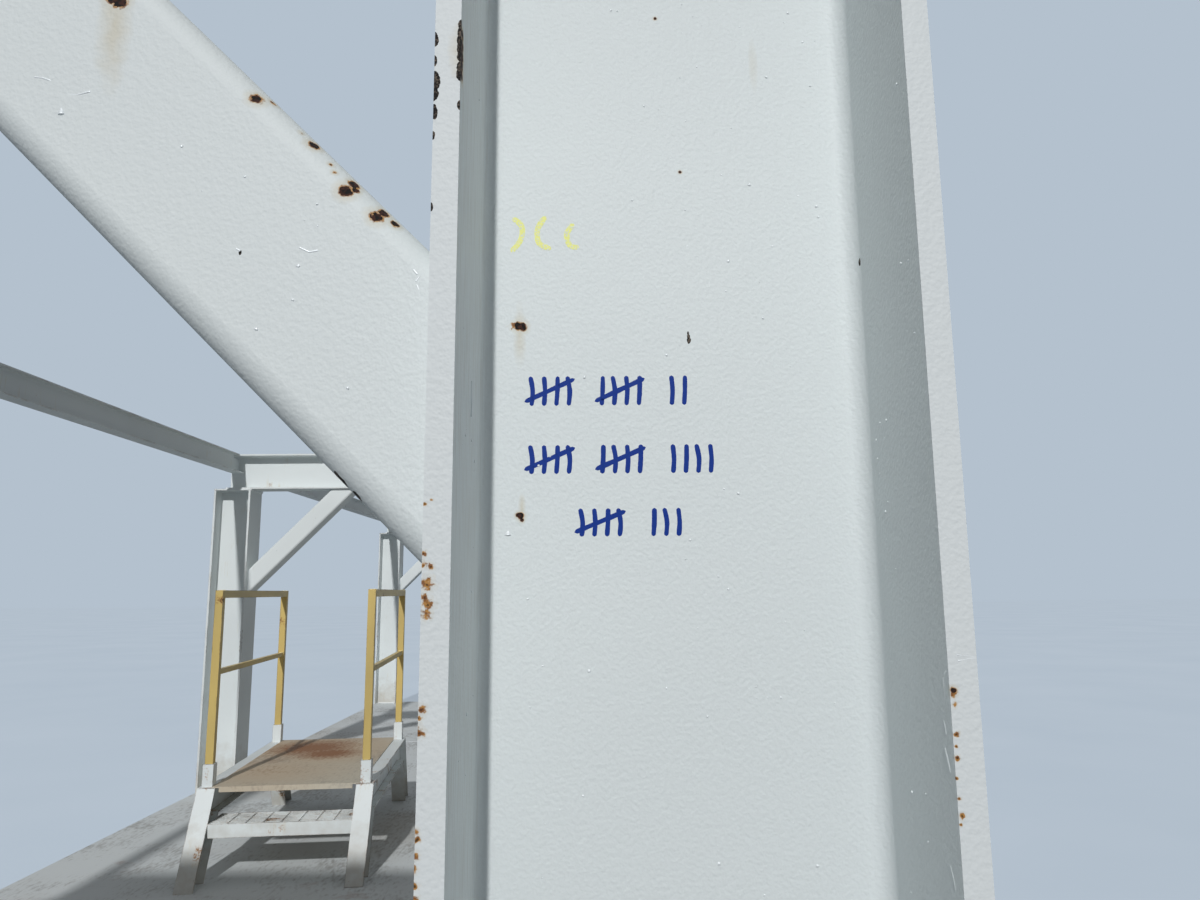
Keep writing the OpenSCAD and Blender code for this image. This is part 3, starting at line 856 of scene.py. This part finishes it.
def stair_lines():
    """Weld lines of the crossover's frames, plate, treads and sockets, in its own axes."""
    parts = chosen("sections")
    frame_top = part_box("platform_plate")[1][2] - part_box("deck_plate_middle")[1][2] - parts.plate_t
    half_len = parts.platform_len / 2
    half_tread = (parts.side_gauge - parts.string_flange) / 2
    plate_edge = half_tread + parts.plate_lap
    front_y = half_len + (frame_top - parts.tread_h) / math.tan(parts.stair_angle)
    drop = parts.tread_lip / math.tan(parts.stair_angle)
    stitches = 6
    half_stitch = 0.03
    lines = []
    for side in SIDES:
        frame_x = side * parts.side_gauge / 2
        for end in SIDES:
            knee = [(frame_x + u * parts.string_flange / 2, end * half_len, frame_top) for u in SIDES]
            inner_y = end * (half_len - parts.string_depth * math.tan(parts.stair_angle / 2))
            lines += [knee, [(x, inner_y, frame_top - parts.string_depth) for x, _, _ in knee]]
            post_y = end * (half_len - parts.post_setback)
            lines.append(square_line((frame_x, post_y, frame_top), parts.socket_w / 2, axis=2))
            for inset in (parts.string_depth - parts.string_flange_t, parts.string_depth):
                back_y = front_y - inset / math.sin(parts.stair_angle)
                lines.append([
                    (side * half_tread, end * back_y, parts.tread_h),
                    (side * half_tread, end * (back_y + drop), parts.tread_h - parts.tread_lip),
                ])
        for i in range(stitches):
            y = -half_len + (i + 0.5) * parts.platform_len / stitches
            lines.append([(side * plate_edge, y + way * half_stitch, frame_top) for way in SIDES])
    return lines


def rail_lines():
    """Weld lines where the rails meet the posts, in the crossover's own axes."""
    parts = chosen("sections")
    deck_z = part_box("deck_plate_middle")[1][2]
    plate_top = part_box("platform_plate")[1][2] - deck_z
    rail_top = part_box("handrail_left")[1][2] - deck_z
    joint_y = parts.platform_len / 2 - parts.post_setback - parts.post_w / 2
    rails = ((rail_top - parts.post_w / 2, parts.post_w), (plate_top + parts.mid_rail_h, parts.mid_rail_w))
    lines = []
    for side in SIDES:
        for end in SIDES:
            for z, width in rails:
                lines.append(square_line((side * parts.side_gauge / 2, end * joint_y, z), width / 2, axis=1))
    return lines


class SKID_OT_crossover_welds(bpy.types.Operator):
    """Lay the weld beads of the crossover stair and of its handrails"""

    bl_idname = "skid.crossover_welds"
    bl_label = "Crossover welds"

    def execute(self, context):
        radius = chosen("details").light_bead
        rail_share = 0.7
        lay_beads("crossover_welds", on_deck(stair_lines()), radius, "stair_enamel")
        lay_beads(
            "rail_welds", on_deck(rail_lines()), radius * rail_share, "yellow_enamel"
        )
        return {"FINISHED"}


def spatter(add, given):
    """Low beads scattered on faces, each turned to its face and flattened, and bunched where a
    broad noise is high."""
    points = add("GeometryNodeDistributePointsOnFaces", {
        "Mesh": given["Geometry"], "Density": given["Density"], "Seed": 11,
    })
    bunch = add("ShaderNodeTexNoise", {"Scale": per_metre(90), "Detail": 2})
    clean = add("FunctionNodeCompare", [bunch, 0.5], data_type="FLOAT", operation="LESS_THAN")
    kept = add("GeometryNodeDeleteGeometry", [points, clean], domain="POINT")
    bead = add("GeometryNodeMeshIcoSphere", {"Radius": 1.0, "Subdivisions": given["Rounds"]})
    spread = add("FunctionNodeRandomValue", {"Min": 0.0, "Max": 1.0, "Seed": 3})
    rare = add("ShaderNodeMath", [spread, 2.0], operation="POWER")
    share = add("ShaderNodeMath", [rare, 0.75, 0.25], operation="MULTIPLY_ADD")
    grown = add("ShaderNodeMath", [share, given["Radius"]], operation="MULTIPLY")
    low = add("ShaderNodeMath", [grown, 0.55], operation="MULTIPLY")
    beads = add("GeometryNodeInstanceOnPoints", {
        "Points": kept, "Instance": bead, "Rotation": points.outputs["Rotation"],
        "Scale": add("ShaderNodeCombineXYZ", [grown, grown, low]),
    })
    return ragged(add, beads, mm=1.8, reach=given["Radius"])


def upright_quads(faces, bottom, top):
    """Quads between two heights over the level lines from one point to another, or back."""
    quads = []
    for start, end, turn in faces:
        start, end = (start, end)[::turn]
        quads.append([(*start, bottom), (*end, bottom), (*end, top), (*start, top)])
    return quads


def column_faces(low, high):
    """Faces of a column that face along the frame, and the inner faces of its flanges."""
    parts = chosen("sections")
    clear = 0.02
    lip = 0.006
    near_web = (low[1] + high[1]) / 2 - parts.column_web_t / 2
    far_web = (low[1] + high[1]) / 2 + parts.column_web_t / 2
    left_in, right_in = low[0] + parts.column_flange_t, high[0] - parts.column_flange_t
    webs = ((near_web, 1), (far_web, -1))
    faces = [((left_in + clear, y), (right_in - clear, y), turn) for y, turn in webs]
    for x, turn in ((left_in, 1), (right_in, -1)):
        faces.append(((x, low[1] + lip), (x, near_web - clear), turn))
        faces.append(((x, far_web + clear), (x, high[1] - lip), turn))
    return upright_quads(faces, low[2] + clear, high[2] - clear)


def beam_faces(low, high, web_t):
    """The two web faces of a cross beam."""
    clear = 0.035
    middle = (low[1] + high[1]) / 2
    webs = ((middle - web_t / 2, 1), (middle + web_t / 2, -1))
    faces = [((low[0] + clear, y), (high[0] - clear, y), turn) for y, turn in webs]
    return upright_quads(faces, low[2] + clear, high[2] - clear)


def brace_faces(low, high, side):
    """The front and back faces of a knee brace, as slanted quads clear of its round corners."""
    flat_share = 0.62
    head_clear = 0.01
    foot, head, width = brace_frame(low, high, side)
    along = width / 2 / math.cos(chosen("sections").brace_angle) * flat_share
    head_z = head[1] - head_clear
    quads = []
    for y, front in ((low[1], 1), (high[1], -1)):
        corners = [
            (foot[0], y, foot[1] - along), (foot[0], y, foot[1] + along),
            (head[0] + side * along, y, head_z), (head[0] - side * along, y, head_z),
        ]
        quads.append(corners[::-side * front])
    return quads


class SKID_OT_spatter(bpy.types.Operator):
    """Scatter weld spatter and paint nibs over the webs, flanges and braces"""

    bl_idname = "skid.spatter"
    bl_label = "Weld spatter"

    def execute(self, context):
        detail = chosen("details")
        quads, close_quads = [], []
        for portal in PORTALS:
            quads += beam_faces(*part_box(f"cross_beam_{portal}"), chosen("sections").cross_web_t)
            for hand, side in HANDS.items():
                faces = column_faces(*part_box(f"column_{portal}_{hand}"))
                faces += brace_faces(*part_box(f"knee_brace_{portal}_{hand}"), side)
                by_camera = (portal, hand) == ("near", "right")
                (close_quads if by_camera else quads).extend(faces)
        for name, faces, density, radius, rounds in (
            ("weld_spatter", quads, detail.spatter_density, detail.spatter_r, 1),
            ("paint_nibs", close_quads, detail.close_density, detail.nib_r, 2),
        ):
            keep_piece(name, grow(
                face_seed(name, faces), spatter,
                Density=density, Radius=radius, Rounds=rounds, Finish=bpy.data.materials["white_enamel"],
            ))
        return {"FINISHED"}


def paint_run(add, given):
    """Paint runs along edge lines: a thin ridge that thickens by a share into a bead at its foot,
    the later the higher the rise."""
    path = add("GeometryNodeMeshToCurve", [given["Geometry"]])
    rings = add("GeometryNodeResampleCurve", {"Curve": path, "Count": 24}, mode="COUNT")
    down = add("GeometryNodeSplineParameter").outputs["Factor"]
    swell = add("ShaderNodeMath", [down, given["Rise"]], operation="POWER")
    wander = add("ShaderNodeTexNoise", {"Scale": per_metre(30)})
    thin = add("ShaderNodeMath", [wander, 0.5, 0.10], operation="MULTIPLY_ADD")
    share = add("ShaderNodeMath", [swell, given["Foot"], thin], operation="MULTIPLY_ADD")
    closed = add("ShaderNodeMath", [share, round_end(add, down, power=24.0)], operation="MULTIPLY")
    width = add("ShaderNodeMath", [closed, given["Radius"]], operation="MULTIPLY")
    return tube(add, rings, width, corners=8)


def flange_runs():
    """Lines of slightly bowed runs down the inner faces of the flanges of each column."""
    flange_t = chosen("sections").column_flange_t
    runs_each = 8
    bow = 0.001
    dice = random.Random(5)
    lines = []
    for _, _, low, high in on_sides("column"):
        for _ in range(runs_each):
            side = dice.choice(SIDES)
            x = low[0] + flange_t if side < 0 else high[0] - flange_t
            y = low[1] + dice.uniform(0.02, 0.10)
            top = dice.uniform(low[2] + 0.4, high[2] - 0.2)
            long = dice.uniform(0.02, 0.09)
            lines.append([(x, y + bow * math.sin(2.5 * i), top - long * i / 4) for i in range(5)])
    return lines


def film_ridges():
    """Lines of the fine runs, creases and sags in the film of the near right column and its brace:
    runs on the inner face of the right flange, creases on its front, and sags on the brace. The
    lists hold heights in metres and the rest in millimetres."""
    sink = chosen("details").ridge_sink
    low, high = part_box("column_near_right")
    right_in = high[0] - chosen("sections").column_flange_t
    brace_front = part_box("knee_brace_near_right")[0][1]
    runs = (
        ((3.4, 1.6501), (6.7, 1.6476)), ((8.3, 1.6464), (8.2, 1.6393), (8.1, 1.6279)),
        ((12.0, 1.6225), (9.9, 1.6184), (9.2, 1.6142)), ((12.6, 1.6072), (9.5, 1.6014), (6.8, 1.5944)),
        ((16.5, 1.5439), (13.3, 1.5386), (11.2, 1.5316)),
    )
    creases = (
        ((5.4, 1.6590), (11.0, 1.6584), (15.9, 1.6578)), ((5.8, 1.6557), (11.4, 1.6568), (16.5, 1.6573)),
        ((7.0, 1.6428), (15.3, 1.6422)),
    )
    sags = (
        ((285, 2.0473), (280, 2.0469), (273, 2.0443)), ((261, 2.0345), (254, 2.0340), (245, 2.0366)),
        ((97, 1.9225), (90.5, 1.9193), (84, 1.9206)), ((139, 1.9220), (136, 1.9203)),
        ((21, 1.9065), (18, 1.9030)), ((17, 1.9015), (19.5, 1.8980)), ((18.5, 1.8960), (17, 1.8920)),
    )
    lines = [[(right_in + sink, low[1] + deep / 1000, z) for deep, z in run] for run in runs]
    lines += [[(right_in + across / 1000, low[1] + sink, z) for across, z in crease] for crease in creases]
    lines += [[(low[0] - away / 1000, brace_front + sink, z) for away, z in sag] for sag in sags]
    return lines


def paint_drops():
    """Lines of two drops that have sagged and dried, on the near right brace and on the web."""
    sink = chosen("details").drop_sink
    low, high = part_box("column_near_right")
    web_y = (low[1] + high[1]) / 2 - chosen("sections").column_web_t / 2 + sink
    brace_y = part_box("knee_brace_near_right")[0][1] + sink
    return [
        [(low[0] - 0.2649, brace_y, 2.0263), (low[0] - 0.2642, brace_y, 2.0189)],
        [(low[0] + 0.0357, web_y, 1.7400), (low[0] + 0.0357, web_y, 1.7350)],
    ]


class SKID_OT_paint_runs(bpy.types.Operator):
    """Hang paint runs on the columns, and ridges and drops in the film by the camera"""

    bl_idname = "skid.paint_runs"
    bl_label = "Paint runs"

    def execute(self, context):
        detail = chosen("details")
        for name, lines, radius, foot, rise in (
            ("paint_runs", flange_runs(), detail.run_r, 0.45, 9.0),
            ("film_ridges", film_ridges(), detail.ridge_r, 0.0, 1.0),
            ("paint_drops", paint_drops(), detail.drop_r, 0.45, 1.6),
        ):
            keep_piece(name, grow(
                edge_seed(name, lines), paint_run,
                Radius=radius, Foot=foot, Rise=rise, Finish=bpy.data.materials["white_enamel"],
            ))
        return {"FINISHED"}


def paint_stroke(add, given):
    """A flat film of paint along each stroke, drawn in the level plane."""
    path = add("GeometryNodeMeshToCurve", [given["Geometry"]])
    smooth = add("GeometryNodeCurveSplineType", [path], spline_type="CATMULL_ROM")
    steps = add("GeometryNodeResampleCurve", {"Curve": smooth, "Count": 30}, mode="COUNT")
    level = add("GeometryNodeSetCurveNormal", [steps], mode="Z_UP")
    press = add("ShaderNodeTexNoise", {"Scale": per_metre(9)})
    pressed = add("ShaderNodeMath", [press, 0.5, 0.75], operation="MULTIPLY_ADD")
    along = add("GeometryNodeSplineParameter").outputs["Factor"]
    centred = add("ShaderNodeMath", [along, 2.0, -1.0], operation="MULTIPLY_ADD")
    even = add("ShaderNodeMath", [centred], operation="ABSOLUTE")
    share = add("ShaderNodeMath", [pressed, round_end(add, even, power=14.0)], operation="MULTIPLY")
    film = add("GeometryNodeCurvePrimitiveQuadrilateral", [given["Width"], given["Thick"]], mode="RECTANGLE")
    return add("GeometryNodeCurveToMesh", {
        "Curve": level, "Profile Curve": film, "Scale": share, "Fill Caps": True,
    })


def draw_strokes(name, strokes, origin, finish, width):
    """Draws strokes, in millimetres from an origin on the web of the near right column."""
    lines = [[(x / 1000, z / 1000, 0) for x, z in stroke] for stroke in strokes]
    mesh = grow(
        edge_seed(name, lines), paint_stroke, smooth=False,
        Width=width, Thick=chosen("details").paint_t, Finish=finish,
    )
    mesh.transform(Matrix.Translation(origin) @ Matrix.Rotation(math.radians(90), 4, "X"))
    keep_piece(name, mesh)


def tally(left, bottom, high, count, gap=9, lean=2):
    """A tally of upright strokes, with every fifth one drawn across the four before it. Its sizes
    are in millimetres."""
    group_gap = 6
    strokes = []
    for i in range(count):
        group, place = divmod(i, 5)
        start = left + group * (5 * gap + group_gap)
        x = start + place * gap
        if place == 4:
            strokes.append([(start - 5, bottom + 3), (start + 3.5 * gap, bottom + high - 2)])
        else:
            head_x = x + lean * (i % 3 - 1) * 0.5
            strokes.append([(head_x, bottom + high), (x + 0.8, bottom + high / 2), (x, bottom)])
    return strokes


class SKID_OT_paint_marks(bpy.types.Operator):
    """Draw tally strokes with a marker and dashes with a crayon on the near right column"""

    bl_idname = "skid.paint_marks"
    bl_label = "Paint marks"

    def execute(self, context):
        look = chosen("finishes")
        detail = chosen("details")
        low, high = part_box("column_near_right")
        web_y = (low[1] + high[1]) / 2 - chosen("sections").column_web_t / 2
        upper, middle, lower, crayon_z = 1.826, 1.776, 1.732, 1.947
        rows = tally(left=52, bottom=3, high=22, count=12)
        rows += tally(left=52, bottom=(middle - upper) * 1000 + 3, high=21, count=14)
        rows += tally(left=88, bottom=(lower - upper) * 1000 + 2, high=20, count=8)
        marker = paint_mark("blue_paint_marker", look.marker, cover=0.74, grain_mm=1.2)
        draw_strokes("marker_strokes", rows, (low[0], web_y, upper), marker, detail.marker_w)
        crayon = paint_mark("yellow_crayon", look.crayon, cover=0.51, grain_mm=1.3)
        dashes = [
            [(37, 27), (44, 20), (43, 9), (36, 0)], [(62, 28), (56, 18), (57, 7), (66, 2)],
            [(83, 22), (78, 14), (80, 5), (87, 3)],
        ]
        draw_strokes("crayon_dashes", dashes, (low[0], web_y, crayon_z), crayon, detail.crayon_w)
        return {"FINISHED"}


def scale_lumps(add, given):
    """Flat ragged lumps of rust scale along edge lines, bunched where a broad noise is high."""
    path = add("GeometryNodeMeshToCurve", [given["Geometry"]])
    points = add("GeometryNodeCurveToPoints", [path, given["Gap"]], mode="LENGTH")
    bunch = add("ShaderNodeTexNoise", {"Scale": per_metre(330), "Detail": 3})
    clean = add("FunctionNodeCompare", [bunch, 0.64], data_type="FLOAT", operation="LESS_THAN")
    kept = add("GeometryNodeDeleteGeometry", [points, clean], domain="POINT")
    lump = add("GeometryNodeMeshIcoSphere", {"Radius": 1.0, "Subdivisions": 2})
    spread = add("FunctionNodeRandomValue", {"Min": 0.25, "Max": 1.0, "Seed": 8})
    long = add("ShaderNodeMath", [spread, given["Radius"]], operation="MULTIPLY")
    flat = add("ShaderNodeMath", [long, 0.28], operation="MULTIPLY")
    lumps = add("GeometryNodeInstanceOnPoints", {
        "Points": kept, "Instance": lump, "Rotation": points.outputs["Rotation"],
        "Scale": add("ShaderNodeCombineXYZ", [flat, flat, long]),
    })
    return ragged(add, lumps, mm=4, reach=0.0022)


class SKID_OT_rust_scale(bpy.types.Operator):
    """Lift lumps of rust scale along the flange edges of the columns and cross beams"""

    bl_idname = "skid.rust_scale"
    bl_label = "Rust scale"

    def execute(self, context):
        flange_t = chosen("sections").column_flange_t
        detail = chosen("details")
        lines = []
        for portal in PORTALS:
            for hand in HANDS:
                if (portal, hand) == ("near", "right"):
                    continue
                low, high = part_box(f"column_{portal}_{hand}")
                for x in (low[0], low[0] + flange_t, high[0] - flange_t, high[0]):
                    lines += [[(x, y, low[2]), (x, y, high[2])] for y in (low[1], high[1])]
            low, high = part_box(f"cross_beam_{portal}")
            lines += [[(low[0], y, low[2]), (high[0], y, low[2])] for y in (low[1], high[1])]
        keep_piece("rust_scale", grow(
            edge_seed("rust_scale", lines), scale_lumps,
            Radius=detail.scale_r, Gap=detail.scale_gap, Finish=rust_scale_finish(),
        ))
        return {"FINISHED"}


def set_camera(stage):
    """Camera at the photograph's place: level axes first, then pitch, then roll."""
    yaw, pitch, roll = stage.yaw, stage.pitch, stage.roll
    ahead = Vector((-math.sin(yaw), math.cos(yaw), 0))
    right = Vector((math.cos(yaw), math.sin(yaw), 0))
    up = Vector((0, 0, 1))
    view = math.cos(pitch) * ahead + math.sin(pitch) * up
    top = -math.sin(pitch) * ahead + math.cos(pitch) * up
    rolled_right = math.cos(roll) * right + math.sin(roll) * top
    rolled_top = -math.sin(roll) * right + math.cos(roll) * top
    data = bpy.data.cameras.new("photo_camera")
    data.sensor_width = 36
    data.lens = stage.focal_px / PHOTO_WIDTH * data.sensor_width
    data.clip_start = 0.02
    data.clip_end = 500
    camera = bpy.data.objects.new("photo_camera", data)
    axes = Matrix((rolled_right, rolled_top, -view)).transposed().to_4x4()
    camera.matrix_world = Matrix.Translation((stage.camera_x, stage.camera_y, stage.camera_z)) @ axes
    bpy.context.scene.collection.objects.link(camera)
    bpy.context.scene.camera = camera


def set_light(stage, tone):
    """A soft key light from behind the camera, and a world that fills and gives the backdrop."""
    key = bpy.data.lights.new("key_light", "SUN")
    key.energy = stage.key_level
    key.angle = stage.key_spread
    lamp = bpy.data.objects.new("key_light", key)
    travel = Vector((
        math.cos(stage.key_height) * math.sin(stage.key_turn),
        math.cos(stage.key_height) * math.cos(stage.key_turn),
        -math.sin(stage.key_height),
    ))
    lamp.rotation_mode = "QUATERNION"
    lamp.rotation_quaternion = travel.to_track_quat("-Z", "Y")
    bpy.context.scene.collection.objects.link(lamp)
    world = bpy.data.worlds.new("studio")
    bpy.context.scene.world = world
    world.use_nodes = True
    world.node_tree.nodes.clear()
    add = partial(add_node, world.node_tree)
    fill = add("ShaderNodeBackground", [(1, 1, 1, 1), stage.fill_level])
    backdrop = add("ShaderNodeBackground", [opaque(tone), 1.0])
    path = add("ShaderNodeLightPath").outputs
    seen = add("ShaderNodeMath", [path["Is Camera Ray"], path["Is Glossy Ray"]], operation="MAXIMUM")
    add("ShaderNodeOutputWorld", [add("ShaderNodeMixShader", [seen, fill, backdrop])])


class SKID_OT_stage(bpy.types.Operator):
    """Set the floor, the camera at the photograph's place, and soft studio light"""

    bl_idname = "skid.stage"
    bl_label = "Stage"

    def execute(self, context):
        stage = chosen("stage")
        tone = tuple(chosen("finishes").floor)
        half = stage.floor_size / 2
        corners = [(-half, -half, 0), (half, -half, 0), (half, half, 0), (-half, half, 0)]
        mesh = face_seed("studio_floor", [corners])
        mesh.materials.append(studio_finish("studio_floor", tone, stage.floor_lift))
        floor = bpy.data.objects.new("studio_floor", mesh)
        context.scene.collection.objects.link(floor)
        set_camera(stage)
        set_light(stage, tone)
        context.scene.view_settings.view_transform = "Standard"
        return {"FINISHED"}


OPERATORS = (
    SKID_OT_stage,
    SKID_OT_paint_frame,
    SKID_OT_frame_welds,
    SKID_OT_crossover_welds,
    SKID_OT_spatter,
    SKID_OT_paint_runs,
    SKID_OT_paint_marks,
    SKID_OT_rust_scale,
)
GROUPS = {
    "skid_sections": SkidSections,
    "skid_details": SkidDetails,
    "skid_finishes": SkidFinishes,
    "skid_stage": SkidStage,
}


class SKID_PT_steps(bpy.types.Panel):
    """Steps and values of the skid frame"""

    bl_idname = "SKID_PT_steps"
    bl_label = "Skid Frame"
    bl_space_type = "VIEW_3D"
    bl_region_type = "UI"
    bl_category = "Skid Frame"

    def draw(self, context):
        for step in OPERATORS:
            self.layout.operator(step.bl_idname)
        for name, group in GROUPS.items():
            box = self.layout.box()
            for field in group.__annotations__:
                box.prop(getattr(context.scene, name), field)


def register():
    for cls in (*GROUPS.values(), *OPERATORS, SKID_PT_steps):
        bpy.utils.register_class(cls)
    for name, group in GROUPS.items():
        setattr(bpy.types.Scene, name, bpy.props.PointerProperty(type=group))


def unregister():
    for name in GROUPS:
        delattr(bpy.types.Scene, name)
    for cls in reversed((*GROUPS.values(), *OPERATORS, SKID_PT_steps)):
        bpy.utils.unregister_class(cls)


def main():
    register()
    bpy.ops.skid.stage()
    bpy.ops.skid.paint_frame()
    bpy.ops.skid.frame_welds()
    bpy.ops.skid.crossover_welds()
    bpy.ops.skid.spatter()
    bpy.ops.skid.paint_runs()
    bpy.ops.skid.paint_marks()
    bpy.ops.skid.rust_scale()
    bpy.context.view_layer.update()


if __name__ == "__main__":
    main()
